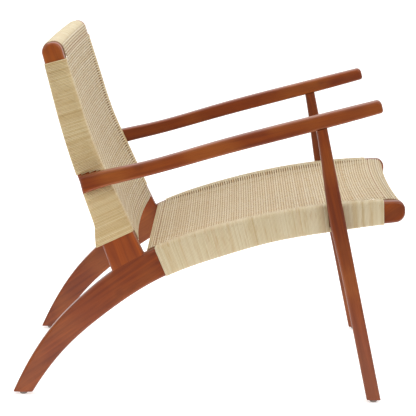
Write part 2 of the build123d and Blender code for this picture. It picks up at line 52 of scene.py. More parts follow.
# ---------------------------------------------------------------- sizes of the strand work
cross_w = 3.2 * MM              # a peeled strand, flat side
strand_t = 1.25 * MM            # and its thickness
turn_t = 1.9 * MM               # thickness of the doubled turns round the side pieces
wrap_gap = 0.3 * MM             # strand clear of the wood under it
seat_pitch = 5.3 * MM           # cross strands of the seat, one to every second turn on the rails
back_pitch = 5.7 * MM           # cross strands of the back
warp_pitch = 5.7 * MM           # long strands, laid in pairs
warp_w = 5.3 * MM               # width of such a pair
panel_t = 2.4 * MM              # strands over and under each other
edge_drop_seat = 6.5 * MM       # how far the seat weave falls inside its rails
edge_drop_back = 4.0 * MM
drop_run = 16.0 * MM            # width over which it falls, and the slots before the first long strand
seat_sag = 3.5 * MM             # middle of the seat below its edges
low_strand_drop = 3.2 * MM      # long strands under the slots, below the weave's middle surface
bow_run = 120.0 * MM            # length over which the cross strands take up the front rail's bow
rail_bows = {"back_top_rail": 3.0 * MM, "back_lower_rail": 12.0 * MM,
             "seat_front_rail": 8.0 * MM, "seat_rear_rail": 0.0}
side_edge_r = 5.0 * MM          # round-over of the wooden side pieces
reach_on = 45.0 * MM            # how far an edge line goes on past its wrapped length
packing = 0.985                 # width of a turn as a share of the spacing of the turns
lift_share = 0.46               # rise or fall of a strand at a crossing, in thicknesses
shade_run = 1.5 * MM            # width over which the turns are painted darker towards the inner face, as shade
cover_gap = 0.6 * MM            # bare line round a piece that lies on the turns' outer face
flat_margin = 0.5 * MM          # cut turns end this far inside the flat of the outer face
leg_gap = 4.0 * MM              # bare rail in front of the front leg
slot_play = 2.0 * MM            # the first long strand may lie this far into the drop
row_inset = 1.0 * MM            # ends of the rows over the rails, from the side pieces
row_sink = 0.4                  # depth of those rows in the rail's skin, in thicknesses
tie_sink = 1.1                  # and how much deeper they lie at a tie
wood_end, gap_end = 3.5 * MM, 0.5 * MM              # a cross strand's first points, on and off the wood
long_ends = np.array([2.0, 8.0, 14.0]) * MM         # a long strand's last points, under a rail's turns
tuck_depth = 1.6 * MM           # how far its very end goes down

# ---------------------------------------------------------------- how edge lines are read
on_plane = 0.15 * MM            # a vertex this near a plane lies on it
edge_step = 0.25 * MM           # spacing of the points of an edge line
edge_trim = 1.0 * MM            # left off both ends of the range that is read
mean_steps = 28                 # points on each side that a running mean takes in
slope_steps = 90                # points over which an end's slope is taken
run_steps = 60                  # points on each side that give a line's direction
before_wrap, after_wrap = 18.0 * MM, 5.0 * MM       # the range read, past the ends of a wrap
loop_turn = np.radians(14)      # change of direction between kept corners of a rail's section

# ---------------------------------------------------------------- places read from the frame
stile_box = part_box("right_back_stile")
weave_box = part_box("seat_weave")
outer_x, inner_x = -stile_box[0].x, -stile_box[1].x
side_t = outer_x - inner_x
side_mid_x = (outer_x + inner_x) / 2
panel_half = weave_box[1].x


def node_points(name):
    """All vertices of a CAD node, as an (n, 3) array."""
    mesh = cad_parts[name].data
    flat = np.empty(3 * len(mesh.vertices), np.float32)
    mesh.vertices.foreach_get("co", flat)
    return flat.reshape(-1, 3).astype(float)


def edge_pair(name, along, low, high):
    """The two long edges of a side piece as smooth lines of (y, z) points, edge_step apart.

    The round-over meets the edge faces side_edge_r inside the outer face, and the vertices there
    draw both edges. A cubic through all of them runs between the edges and parts them. Each part
    is joined up in order along the coordinate `along` (0 for y, 1 for z) from low to high, and
    evened out by a running mean, and both ends go on straight for reach_on.
    """
    points = node_points(name)
    on_edge = np.abs(points[:, 0] + outer_x - side_edge_r) < on_plane
    yz = np.unique(points[on_edge][:, 1:].round(6), axis=0)
    yz = yz[(yz[:, along] > low) & (yz[:, along] < high)]
    a, b = yz[:, along], yz[:, 1 - along]
    above = b > np.polyval(np.polyfit(a - a.mean(), b, 3), a - a.mean())
    fine = np.arange(low + edge_trim, high - edge_trim, edge_step)
    kernel = np.ones(2 * mean_steps + 1) / (2 * mean_steps + 1)
    extra = np.arange(1, int(reach_on / edge_step)) * edge_step
    k = slope_steps
    lines = []
    for part in (above, ~above):
        order = np.argsort(a[part])
        value = np.interp(fine, a[part][order], b[part][order])
        value = np.convolve(value, kernel, "valid")
        x = fine[mean_steps:-mean_steps]
        slopes = ((value[k] - value[0]) / (x[k] - x[0]),
                  (value[-1] - value[-k - 1]) / (x[-1] - x[-k - 1]))
        x_all = np.concatenate([x[0] - extra[::-1], x, x[-1] + extra])
        value = np.concatenate([value[0] - slopes[0] * extra[::-1], value, value[-1] + slopes[1] * extra])
        line = np.stack([x_all, value], 1)
        lines.append(line if along == 0 else line[:, ::-1])
    return lines


def arc_length(line):
    """Distance along a line of points, from its first point."""
    steps = np.linalg.norm(np.diff(line, axis=0), axis=-1)
    return np.concatenate([[0.0], np.cumsum(steps)])


def unit(v):
    """Vectors of length 1."""
    return v / np.maximum(np.linalg.norm(v, axis=-1, keepdims=True), 1e-12)


class SidePiece:
    """A seat rail or stile: its face edge, where the weave lies, and the edge opposite."""

    def __init__(self, name, wrap_name, along, outwards, reverse):
        # The face-side corners of the wrap's two ends, in (y, z).
        skin = node_points(wrap_name)[:, 1:]
        onwards = np.eye(2)[along]
        ends = [skin[np.argmax(skin @ (outwards + sign * onwards))] for sign in (-1, 1)]
        upper, lower = edge_pair(name, along, ends[0][along] - before_wrap, ends[1][along] + after_wrap)
        face_above = outwards[1 - along] > 0
        face, back = (upper, lower) if face_above else (lower, upper)
        if reverse:
            face, back = face[::-1], back[::-1]
        self.face, self.back = face, back
        self.lengths = arc_length(face)
        self.start, self.end = sorted(
            self.lengths[np.argmin(np.linalg.norm(face - corner, axis=1))] for corner in ends)
        middle = np.arange(len(face))
        run = unit(face[np.minimum(middle + run_steps, len(face) - 1)]
                   - face[np.maximum(middle - run_steps, 0)])
        normal = np.stack([-run[:, 1], run[:, 0]], 1)
        if np.mean(np.sum((face - back) * normal, 1)) < 0:
            normal = -normal
        self.normal, self.run = normal, run

    def at(self, s):
        """Point, outward normal and run of the face edge at distances s along it."""
        pick = [np.stack([np.interp(s, self.lengths, value[:, k]) for k in (0, 1)], -1)
                for value in (self.face, self.normal, self.run)]
        return pick[0], unit(pick[1]), unit(pick[2])

    def depth(self, s):
        """Distance from the face edge to the opposite edge, square to the face edge."""
        point, normal, run = self.at(s)
        offset = self.back[None, :, :] - point[:, None, :]
        along = np.abs(np.sum(offset * run[:, None, :], -1))
        nearest = np.argmin(along, 1)
        return -np.sum(offset[np.arange(len(s)), nearest] * normal, -1)


# The wrapped lengths are those of the CAD wraps between the cross rails.
rail = SidePiece("right_seat_rail_and_rear_leg", "right_seat_rail_wrap", 0, np.array([0.0, 1.0]), True)
stile = SidePiece("right_back_stile", "right_stile_wrap", 1, np.array([-1.0, 0.0]), False)


# ---------------------------------------------------------------- strand meshes
# Corners of a strand's section, as shares of its width and thickness, and the painted shade of
# each: 0 on the crown, 1 in the grooves, where shade falls. A pair of strands side by side has two
# crowns. Corners below UNDERSIDE are on the strand's far side, which the painted shade of a dip
# doesn't cover, so they don't darken with it.
UNDERSIDE = -0.2
OWN_SHADE = 0.8                 # share of its own painted shade that a section keeps where the painted shade of dips is added
UV_MARGIN = 0.1                 # keeps the place round the section clear of whole numbers
SINGLE = np.array([(-0.5, 0.05), (-0.27, 0.5), (0.27, 0.5), (0.5, 0.05), (0.3, -0.5), (-0.3, -0.5)])
SINGLE_SHADE = np.array([0.75, 0.0, 0.0, 0.75, 0.2, 0.2])
PAIR = np.array([(-0.5, 0.0), (-0.36, 0.5), (-0.14, 0.5), (0.0, 0.05), (0.14, 0.5), (0.36, 0.5),
                 (0.5, 0.0), (0.0, -0.5)])
PAIR_SHADE = np.array([0.9, 0.2, 0.2, 0.9, 0.2, 0.2, 0.9, 0.3])


class StrandSet:
    """Collects swept strands for one object: vertices, faces, uv and a painted shade value."""

    def __init__(self):
        self.verts, self.faces, self.uvs, self.depths, self.count, self.turns = [], [], [], [], 0, 0

    def add(self, path, out, closed, dip_shade=None, width=cross_w, thick=strand_t,
            section=SINGLE, section_shade=SINGLE_SHADE):
        """Sweeps a flat section along paths of shape (strands, samples, 3).

        A dip argument paints shade, from 0 to 1, on each sample's outer side where it lies low between its
        neighbours.

        At a sample with run T and outward normal N the section lies in the plane of N and
        B = T x N: a corner is path + B * across * width + N * height * thick. uv is (distance
        along the strand in metres, strand number + place round the section).
        """
        k, n = path.shape[:2]
        m = len(section)
        if closed:
            run = unit(np.roll(path, -1, 1) - np.roll(path, 1, 1))
            step = np.linalg.norm(np.roll(path, -1, 1) - path, axis=-1)
        else:
            run = unit(np.gradient(path, axis=1))
            step = np.linalg.norm(np.diff(path, axis=1), axis=-1)
        along = np.concatenate([np.zeros((k, 1)), np.cumsum(step, 1)], 1)
        out = unit(out - np.sum(out * run, -1, keepdims=True) * run)
        across = np.cross(run, out)
        verts = (path[:, :, None, :]
                 + across[:, :, None, :] * section[None, None, :, :1] * width
                 + out[:, :, None, :] * section[None, None, :, 1:] * thick)
        # Painted shade of each corner: the section's own, plus the dip's shade on its outer side.
        depth = np.broadcast_to(section_shade, (k, n, m)).copy()
        if dip_shade is not None:
            outer_side = section[:, 1] > UNDERSIDE
            depth = np.clip(depth * OWN_SHADE + dip_shade[:, :, None] * outer_side, 0.0, 1.0)
        base = self.count + np.arange(k)[:, None, None] * n * m
        j = np.arange(n if closed else n - 1)[None, :, None]
        i = np.arange(m)[None, None, :]
        j2, i2 = (j + 1) % n, (i + 1) % m
        quads = np.stack([base + j * m + i, base + j * m + i2, base + j2 * m + i2, base + j2 * m + i], -1)
        number = (self.turns + np.arange(k))[:, None, None]
        u1, u2 = along[:, j[0, :, 0]][:, :, None], along[:, j[0, :, 0] + 1][:, :, None]
        v1, v2 = (number + UV_MARGIN + (1 - 2 * UV_MARGIN) * corner / m for corner in (i, i + 1))
        full = quads.shape[:3]
        uv = np.stack([np.stack([np.broadcast_to(a, full), np.broadcast_to(b, full)], -1)
                       for a, b in ((u1, v1), (u1, v2), (u2, v2), (u2, v1))], 3)
        self.faces.append(quads.reshape(-1, 4))
        self.uvs.append(uv.reshape(-1, 4, 2))
        if not closed:
            # Each end is closed by quads that share the section's first corner.
            fan = [[0, i, i + 1, i + 2] for i in range(1, m - 2, 2)]
            for sample, order in ((0, np.arange(m)), (n - 1, np.arange(m)[::-1])):
                corner = base[:, 0, 0][:, None] + sample * m + order
                ends = np.concatenate([corner[:, quad] for quad in fan])
                flat_uv = np.zeros((len(ends), 4, 2))
                flat_uv[:, :, 0] = np.tile(along[:, sample], len(fan))[:, None]
                flat_uv[:, :, 1] = np.tile(number[:, 0, 0] + 0.5, len(fan))[:, None]
                self.faces.append(ends[:, ::-1])
                self.uvs.append(flat_uv)
        self.verts.append(verts.reshape(-1, 3))
        self.depths.append(depth.reshape(-1))
        self.count += k * n * m
        self.turns += k

    def make(self, name, *replaced, material=None):
        """The collected strands as one object that stands for the named CAD nodes."""
        verts, faces = np.concatenate(self.verts), np.concatenate(self.faces)
        mesh = bpy.data.meshes.new(name)
        mesh.vertices.add(len(verts))
        mesh.vertices.foreach_set("co", verts.astype(np.float32).ravel())
        mesh.loops.add(faces.size)
        mesh.loops.foreach_set("vertex_index", faces.astype(np.int32).ravel())
        mesh.polygons.add(len(faces))
        mesh.polygons.foreach_set("loop_start", np.arange(0, faces.size, 4, dtype=np.int32))
        mesh.polygons.foreach_set("use_smooth", np.ones(len(faces), bool))
        mesh.update(calc_edges=True)
        uv = mesh.uv_layers.new(name="strand")
        uv.data.foreach_set("uv", np.concatenate(self.uvs).astype(np.float32).ravel())
        # Per-vertex painted shade, which the strand material turns into brown.
        painted_shade = mesh.attributes.new("painted_shade", "FLOAT", "POINT")
        painted_shade.data.foreach_set("value", np.concatenate(self.depths).astype(np.float32))
        made = bpy.data.objects.new(name, mesh)
        bpy.context.scene.collection.objects.link(made)
        mesh.materials.append(material or strand_finish)
        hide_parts(*replaced)
        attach(made, "root")
        return made


def ring_paths(piece, s, mirror, lift):
    """Closed turns round a side piece, one at each distance s along its face edge.

    A turn is a rounded rectangle round the piece's section, in the plane of x and of the face
    edge's normal, lift outside the wood. Coordinates of the section: x outwards from the middle
    of the piece, and n along the face normal from the middle of the section.
    """
    point, normal, _ = piece.at(s)
    depth = piece.depth(s)
    half_x, half_n = side_t / 2, depth / 2
    samples, outs = [], []
    for sx, sn, start in ((1, 1, 0), (-1, 1, 1), (-1, -1, 2), (1, -1, 3)):
        angle = (start + np.linspace(0.0, 1.0, 4)) * np.pi / 2
        c, d = np.cos(angle), np.sin(angle)
        px = sx * (half_x - side_edge_r) + (side_edge_r + lift) * c
        pn = sn * (half_n[:, None] - side_edge_r) + (side_edge_r + lift) * d
        samples.append(np.stack([np.broadcast_to(px, pn.shape), pn], -1))
        outs.append(np.broadcast_to(np.stack([c, d], -1), pn.shape + (2,)))
    flat, out = np.concatenate(samples, 1), np.concatenate(outs, 1)
    return place_section(point, normal, depth, flat, out, mirror)


def place_section(point, normal, depth, flat, out, mirror):
    """Turns section coordinates (x outwards, n along the face normal) into points and normals."""
    centre = point - normal * depth[:, None] / 2
    side = 1.0 if mirror else -1.0
    path = np.empty(flat.shape[:2] + (3,))
    path[..., 0] = side * (side_mid_x + flat[..., 0])
    path[..., 1:] = centre[:, None, :] + normal[:, None, :] * flat[..., 1:]
    normals = np.empty_like(path)
    normals[..., 0] = side * out[..., 0]
    normals[..., 1:] = normal[:, None, :] * out[..., 1:]
    return path, normals


def open_paths(piece, s, mirror, lift, first, last, from_inner):
    """Turns that stop at a piece lying on the outer face.

    first and last are where its two ends lie, as n from the middle of the section. A turn starts
    on the outer face at first, goes round by the back, inner and face sides, and comes over the
    face edge and down the outer face to last. With from_inner it starts on the inner face.
    """
    point, normal, _ = piece.at(s)
    depth = piece.depth(s)
    half_x, half_n = side_t / 2, depth / 2
    outer, inner = half_x + lift, -half_x - lift
    samples, outs = [], []
    start_x = inner if from_inner else outer
    samples.append(np.stack([np.full_like(first, start_x), first], -1)[:, None, :])
    outs.append(np.broadcast_to([np.sign(start_x), 0.0], (len(s), 1, 2)))
    corners = ((-1, 1, 1), (1, 1, 0)) if from_inner else ((1, -1, 3), (-1, -1, 2), (-1, 1, 1), (1, 1, 0))
    for sx, sn, start in corners:
        angle = (start + np.linspace(1.0, 0.0, 4)) * np.pi / 2
        c, d = np.cos(angle), np.sin(angle)
        px = sx * (half_x - side_edge_r) + (side_edge_r + lift) * c
        pn = sn * (half_n[:, None] - side_edge_r) + (side_edge_r + lift) * d
        samples.append(np.stack([np.broadcast_to(px, pn.shape), pn], -1))
        outs.append(np.broadcast_to(np.stack([c, d], -1), pn.shape + (2,)))
    samples.append(np.stack([np.full_like(last, outer), last], -1)[:, None, :])
    outs.append(np.broadcast_to([1.0, 0.0], (len(s), 1, 2)))
    flat, out = np.concatenate(samples, 1), np.concatenate(outs, 1)
    return place_section(point, normal, depth, flat, out, mirror)


def turn_places(piece, pitch):
    """Distances of the turns along the face edge: two to a cross strand, filling the length."""
    count = 2 * int((piece.end - piece.start) / pitch)
    step = (piece.end - piece.start) / count
    return piece.start + (np.arange(count) + 0.5) * step, step


def bare_span(piece, s, test):
    """Where another piece covers the outer face at each turn.

    Result: lowest and highest covered n (inf and -inf if clear), whether any is, and the depth.
    """
    point, normal, _ = piece.at(s)
    depth = piece.depth(s)
    share = np.linspace(0.0, 1.0, 121)
    spots = point[:, None, :] - normal[:, None, :] * (depth[:, None] * share)[..., None]
    n = depth[:, None] * (0.5 - share)
    covered = test(spots[..., 0], spots[..., 1])
    low = np.where(covered, n, np.inf).min(1)
    high = np.where(covered, n, -np.inf).max(1)
    return low, high, covered.any(1), depth


def inner_shade(path):
    """Painted shade of the turns: full on the inner face, where the cross strands leave and shade falls in
    the slots, none outside.
    """
    return np.clip((inner_x + shade_run - np.abs(path[..., 0])) / shade_run, 0.0, 1.0)


def wrap_side(piece, pitch, mirror, covered, rear_bare):
    """All turns on one side piece: rings, and open turns where a piece lies on its outer face.

    With rear_bare, a turn that is covered down to its back edge starts on the inner face.
    """
    strands = StrandSet()
    lift = wrap_gap + turn_t / 2
    s, step = turn_places(piece, pitch)
    low, high, cut, depth = bare_span(piece, s, covered)
    width = step * packing
    path, out = ring_paths(piece, s[~cut], mirror, lift)
    strands.add(path, out, True, inner_shade(path), width, turn_t)
    limit = depth / 2 - side_edge_r - flat_margin
    whole = cut & (low <= -limit) & rear_bare
    part = cut & ~whole
    for chosen, from_inner in ((whole, True), (part, False)):
        if chosen.any():
            first = -depth[chosen] / 4 if from_inner else np.maximum(low, -limit)[chosen]
            path, out = open_paths(piece, s[chosen], mirror, lift, first,
                                   np.minimum(high, limit)[chosen], from_inner)
            strands.add(path, out, False, inner_shade(path), width, turn_t)
    return strands


# ---------------------------------------------------------------- what lies on the side pieces
def outline_of(name, x):
    """(y, z) vertices of a side piece that lie on the border of its edge faces."""
    points = node_points(name)
    return points[np.abs(points[:, 0] - x) < on_plane][:, 1:]


arm_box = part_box("right_armrest")
arm_outline = outline_of("right_armrest", arm_box[0].x + side_edge_r)
leg_outline = outline_of("right_front_leg", arm_box[0].x + side_edge_r)


def band_edges(outline, along, low, high, degree):
    """Polynomials of the two long edges of an outline between two places along it."""
    part = outline[(outline[:, along] > low) & (outline[:, along] < high)]
    a, b = part[:, along], part[:, 1 - along]
    above = b > np.polyval(np.polyfit(a, b, 1), a)
    return [np.polyfit(a[side], b[side], degree) for side in (above, ~above)]


# The armrest lies on the stile near its rear end, and the leg passes the seat rail in these heights.
arm_lap = arm_box[1].y - 110 * MM, arm_box[1].y - 3 * MM
leg_lap = 300 * MM, 480 * MM
arm_top, arm_under = band_edges(arm_outline, 0, *arm_lap, 2)
leg_back, leg_fore = band_edges(leg_outline, 1, *leg_lap, 3)


def under_arm(y, z):
    """True between the armrest's lower and upper edge, each moved out by cover_gap."""
    return (z < np.polyval(arm_top, y) + cover_gap) & (z > np.polyval(arm_under, y) - cover_gap)


def under_leg(y, z):
    """True between the front leg's edges, moved out by leg_gap in front and cover_gap behind."""
    return (y > np.polyval(leg_fore, z) - leg_gap) & (y < np.polyval(leg_back, z) + cover_gap)


# ---------------------------------------------------------------- materials
def linear(code):
    """Linear colour of an sRGB hex value."""
    value = np.array([int(code[i:i + 2], 16) for i in (1, 3, 5)]) / 255
    low = value / 12.92
    high = ((value + 0.055) / 1.055) ** 2.4
    return tuple(np.where(value <= 0.04045, low, high)) + (1.0,)


def put(tree, kind, sockets=None, **settings):
    """Adds a node, makes its settings, then sets each socket to a value or links it."""
    made = tree.nodes.new(kind)
    for key, value in settings.items():
        setattr(made, key, value)
    for key, value in (sockets or {}).items():
        if isinstance(value, bpy.types.NodeSocket):
            tree.links.new(value, made.inputs[key])
        else:
            made.inputs[key].default_value = value
    return made


def finish(name, **shader):
    """A new material with its own shader, and its node tree."""
    material = bpy.data.materials.new(name)
    material.use_nodes = True
    tree = material.node_tree
    tree.nodes.clear()
    surface = put(tree, "ShaderNodeBsdfPrincipled", shader)
    output = put(tree, "ShaderNodeOutputMaterial")
    tree.links.new(surface.outputs["BSDF"], output.inputs["Surface"])
    return material, tree, surface


def mixed(tree, factor, a, b):
    """Colour output of a mix of two colours."""
    made = put(tree, "ShaderNodeMix", data_type="RGBA")
    for socket, value in (("Factor", factor), ("A", a), ("B", b)):
        target = next(s for s in made.inputs if s.name == socket and s.enabled)
        if isinstance(value, bpy.types.NodeSocket):
            tree.links.new(value, target)
        else:
            target.default_value = value
    return next(s for s in made.outputs if s.enabled)


def spread(tree, value, low, high, to_low=0.0, to_high=1.0):
    """A value's range low to high brought to another range, held at its ends."""
    return put(tree, "ShaderNodeMapRange", {"Value": value, "From Min": low, "From Max": high,
                                            "To Min": to_low, "To Max": to_high}).outputs["Result"]


def make_strand_finish(name, light, dark):
    """Peeled cane strand: split, shaved and dried, so it is satin, pale straw with tan lengths.

    uv x is the distance along the strand, and the whole part of uv y is its number. Each strand
    and each bundle of three has its own tone. There are streaks some 40 mm long and fine fibres,
    and the strand is painted browner as shade in its grooves, dips and hollows.
    """
    material, tree, surface = finish(name, Roughness=0.46, IOR=1.5)
    surface.inputs["Specular IOR Level"].default_value = 0.35
    uv = put(tree, "ShaderNodeUVMap", uv_map="strand").outputs["UV"]
    parts = put(tree, "ShaderNodeSeparateXYZ", {"Vector": uv})
    number = put(tree, "ShaderNodeMath", {0: parts.outputs["Y"]}, operation="FLOOR").outputs[0]
    tone = put(tree, "ShaderNodeTexWhiteNoise", {"W": number}, noise_dimensions="1D").outputs["Value"]
    # Far enough apart in y for neighbouring strands to have streaks of their own.
    shifted = put(tree, "ShaderNodeMath", {0: number, 1: 3.71}, operation="MULTIPLY").outputs[0]
    lengthwise = put(tree, "ShaderNodeCombineXYZ", {"X": parts.outputs["X"], "Y": shifted}).outputs[0]
    streak = put(tree, "ShaderNodeTexNoise", {"Vector": lengthwise, "Scale": 24.0, "Detail": 2.0},
                 noise_dimensions="2D").outputs["Fac"]
    fibre_at = put(tree, "ShaderNodeVectorMath", {0: uv, 1: (60.0, 14.0, 1.0)},
                   operation="MULTIPLY").outputs[0]
    fibre = put(tree, "ShaderNodeTexNoise", {"Vector": fibre_at, "Scale": 1.0,
                                             "Detail": 2.0}).outputs["Fac"]
    # Tone of the strand, tan lengths, a few darker strands, fibres, bundles, and last painted shade in the
    # grooves and hollows.
    colour = mixed(tree, spread(tree, tone, 0.0, 1.0), linear(light), linear(dark))
    colour = mixed(tree, spread(tree, streak, 0.58, 0.76, 0.0, 0.5), colour, linear("#C4A26C"))
    colour = mixed(tree, spread(tree, tone, 0.95, 0.99, 0.0, 0.4), colour, linear("#B08A52"))
    colour = mixed(tree, spread(tree, fibre, 0.3, 0.75, 0.0, 0.22), colour, linear("#A98B5B"))
    bundle = put(tree, "ShaderNodeMath", {0: number, 1: 3.0}, operation="DIVIDE").outputs[0]
    bundle = put(tree, "ShaderNodeMath", {0: bundle}, operation="FLOOR").outputs[0]
    batch = put(tree, "ShaderNodeTexWhiteNoise", {"W": bundle}, noise_dimensions="1D").outputs["Value"]
    colour = mixed(tree, spread(tree, batch, 0.55, 1.0, 0.0, 0.36), colour, linear("#C9A873"))
    # Painted shade: browner where the mesh's shade attribute is high, in grooves, dips and hollows.
    painted_shade = put(tree, "ShaderNodeAttribute", attribute_name="painted_shade").outputs["Fac"]
    colour = mixed(tree, spread(tree, painted_shade, 0.2, 1.0, 0.0, 0.72), colour, linear("#8C562E"))
    tree.links.new(colour, surface.inputs["Base Color"])
    bump = put(tree, "ShaderNodeBump", {"Height": fibre, "Strength": 0.25, "Distance": 0.0002})
    tree.links.new(bump.outputs["Normal"], surface.inputs["Normal"])
    return material


def make_wood(name, tilt, base, dark, light, coat=0.2):
    """Stained and lacquered hardwood: fine straight grain, darker bands, small knots, satin coat.

    The grain runs along y turned by tilt (radians) from +y towards +z. Its noise is stretched
    twenty times along it: bands some 11 mm wide and fibres 1.4 mm wide. The clouds are about
    110 mm across, and knots lie some 80 to 130 mm apart.
    """
    material, tree, surface = finish(name, Roughness=0.38, IOR=1.5)
    surface.inputs["Specular IOR Level"].default_value = 0.35
    surface.inputs["Coat Weight"].default_value = coat
    surface.inputs["Coat Roughness"].default_value = 0.2
    place = put(tree, "ShaderNodeTexCoord").outputs["Object"]
    turned = put(tree, "ShaderNodeMapping", {"Vector": place, "Rotation": (-tilt, 0.0, 0.0)}).outputs[0]
    stretched = put(tree, "ShaderNodeMapping", {"Vector": turned, "Scale": (1.0, 0.045, 1.0)}).outputs[0]
    band = put(tree, "ShaderNodeTexNoise", {"Vector": stretched, "Scale": 90.0, "Detail": 3.0,
                                            "Distortion": 0.6}).outputs["Fac"]
    fine = put(tree, "ShaderNodeTexNoise", {"Vector": stretched, "Scale": 700.0,
                                            "Detail": 2.0}).outputs["Fac"]
    cloud = put(tree, "ShaderNodeTexNoise", {"Vector": turned, "Scale": 9.0, "Detail": 1.0}).outputs["Fac"]
    colour = mixed(tree, spread(tree, band, 0.32, 0.68), linear(dark), linear(base))
    colour = mixed(tree, spread(tree, cloud, 0.42, 0.66, 0.0, 0.6), colour, linear(light))
    colour = mixed(tree, spread(tree, fine, 0.42, 0.7, 0.0, 0.35), colour, linear(dark))
    squeezed = put(tree, "ShaderNodeMapping", {"Vector": turned, "Scale": (0.6, 0.7, 1.0)}).outputs[0]
    knots = put(tree, "ShaderNodeTexVoronoi", {"Vector": squeezed, "Scale": 13.0}).outputs["Distance"]
    colour = mixed(tree, spread(tree, knots, 0.05, 0.12, 0.3, 0.0), colour, linear("#5A2410"))
    tree.links.new(colour, surface.inputs["Base Color"])
    rough = spread(tree, band, 0.3, 0.7, 0.42, 0.34)
    tree.links.new(rough, surface.inputs["Roughness"])
    bump = put(tree, "ShaderNodeBump", {"Height": fine, "Strength": 0.12, "Distance": 0.0002})
    tree.links.new(bump.outputs["Normal"], surface.inputs["Normal"])
    return material


def make_plain(name, a, b, scale, **shader):
    """A small or hidden part's finish: two near colours mottled at a given scale."""
    material, tree, surface = finish(name, **shader)
    place = put(tree, "ShaderNodeTexCoord").outputs["Object"]
    mottle = put(tree, "ShaderNodeTexNoise", {"Vector": place, "Scale": scale,
                                              "Detail": 2.0}).outputs["Fac"]
    tree.links.new(mixed(tree, spread(tree, mottle, 0.35, 0.65), linear(a), linear(b)),
                   surface.inputs["Base Color"])
    return material


# Pale strands on the panels, rails and seat sides, and slightly yellower ones round the stiles.
strand_finish = make_strand_finish("peeled_cane_strand", "#E4D8BA", "#D9C9A2")
aged_strand_finish = make_strand_finish("peeled_cane_strand_aged", "#E2CFA2", "#D3B988")
# Way of the grain and stain colours (middle, dark bands, light bands) of each pair of pieces. The
# colours are made lighter or darker from piece to piece to match the light on each: painted light and
# shade over one stain, with the seat rail's darker for the shade of the stile.
WOODS = {
    "armrest": (-0.26, "#92420F", "#712E0B", "#A25920"),
    "front_leg": (1.33, "#883D0F", "#682A0A", "#98521D"),
    "back_stile": (1.2, "#9E4912", "#7C340D", "#AE6224"),
    "seat_rail_and_rear_leg": (-0.62, "#8A3D0E", "#692A0A", "#9A531D"),
}
for piece_name, stain in WOODS.items():
    wood = make_wood(f"stained_hardwood_painted_light_and_shade_{piece_name}", *stain)
    for side_name in ("right", "left"):
        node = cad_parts[f"{side_name}_{piece_name}"]
        node.data.materials.clear()
        node.data.materials.append(wood)

# Parts that the weave or the wood hides: unstained matt rails, pale smooth dowels, bluish bright
# steel, yellow satin brass, and grey-brown satin nylon, which shows a little under the feet.
rail_wood = make_plain("raw_hardwood_rail", "#A8744A", "#8F5C36", 60.0, Roughness=0.6)
beech = make_plain("beech_dowel", "#CFAE84", "#B99467", 300.0, Roughness=0.6)
zinc = make_plain("zinc_plated_steel", "#B9BCC0", "#A4A7AC", 400.0, Roughness=0.35, Metallic=1.0)
brass = make_plain("turned_brass", "#C9A75A", "#B6914A", 400.0, Roughness=0.3, Metallic=1.0)
nylon = make_plain("moulded_nylon", "#8B8178", "#7B7169", 200.0, Roughness=0.45)
for name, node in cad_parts.items():
    chosen = (rail_wood if name.endswith("_rail") else beech if name.endswith("_dowels")
              else brass if name.endswith("_inserts") else nylon if name.endswith("_glide")
              else zinc if name.endswith(("_bolts", "_nails")) else None)
    if chosen:
        node.data.materials.clear()
        node.data.materials.append(chosen)


# ---------------------------------------------------------------- turns on the side pieces
for mirror, side_name in ((False, "right"), (True, "left")):
    wrap_side(stile, back_pitch, mirror, under_arm, True).make(
        f"{side_name}_stile_strand_turns", f"{side_name}_stile_wrap", material=aged_strand_finish)
    wrap_side(rail, seat_pitch, mirror, under_leg, False).make(
        f"{side_name}_seat_rail_strand_turns", f"{side_name}_seat_rail_wrap")


# ---------------------------------------------------------------- turns on the cross rails
def hull(points):
    """Convex outline of (n, 2) points, in order."""
    points = np.unique(points.round(7), axis=0)
    chains = []
    for ordered in (points, points[::-1]):
        chain = []
        for p in ordered:
            while len(chain) > 1 and np.cross(chain[-1] - chain[-2], p - chain[-2]) <= 1e-12:
                chain.pop()
            chain.append(p)
        chains.append(chain[:-1])
    return np.array(chains[0] + chains[1])


def section_loop(node_name):
    """The cross rail's skin in section, from its CAD wrap: points and outward normals in (y, z).

    The hull of the wrap's end face is walked once round, with the normal of each corner between
    those of its two edges.
    """
    points = node_points(node_name)
    loop = hull(points[np.abs(points[:, 0] + panel_half) < 0.1 * MM][:, 1:])
    direction = unit(np.roll(loop, -1, 0) - loop)
    out_edge = np.stack([direction[:, 1], -direction[:, 0]], 1)
    return loop, unit(out_edge + np.roll(out_edge, 1, 0))


def few(loop, outward):
    """The corners of a loop where its direction has turned by loop_turn since the last one."""
    angle = np.arctan2(outward[:, 1], outward[:, 0])
    kept = [0]
    for i in range(1, len(loop)):
        if abs((angle[i] - angle[kept[-1]] + np.pi) % (2 * np.pi) - np.pi) > loop_turn:
            kept.append(i)
    return loop[kept], outward[kept]


def bow_shift(name, x):
    """How far a bowed rail's section is moved at x: its bow times 1 - (x / inner_x) squared."""
    return rail_bows[name] * (1 - (x / inner_x) ** 2)


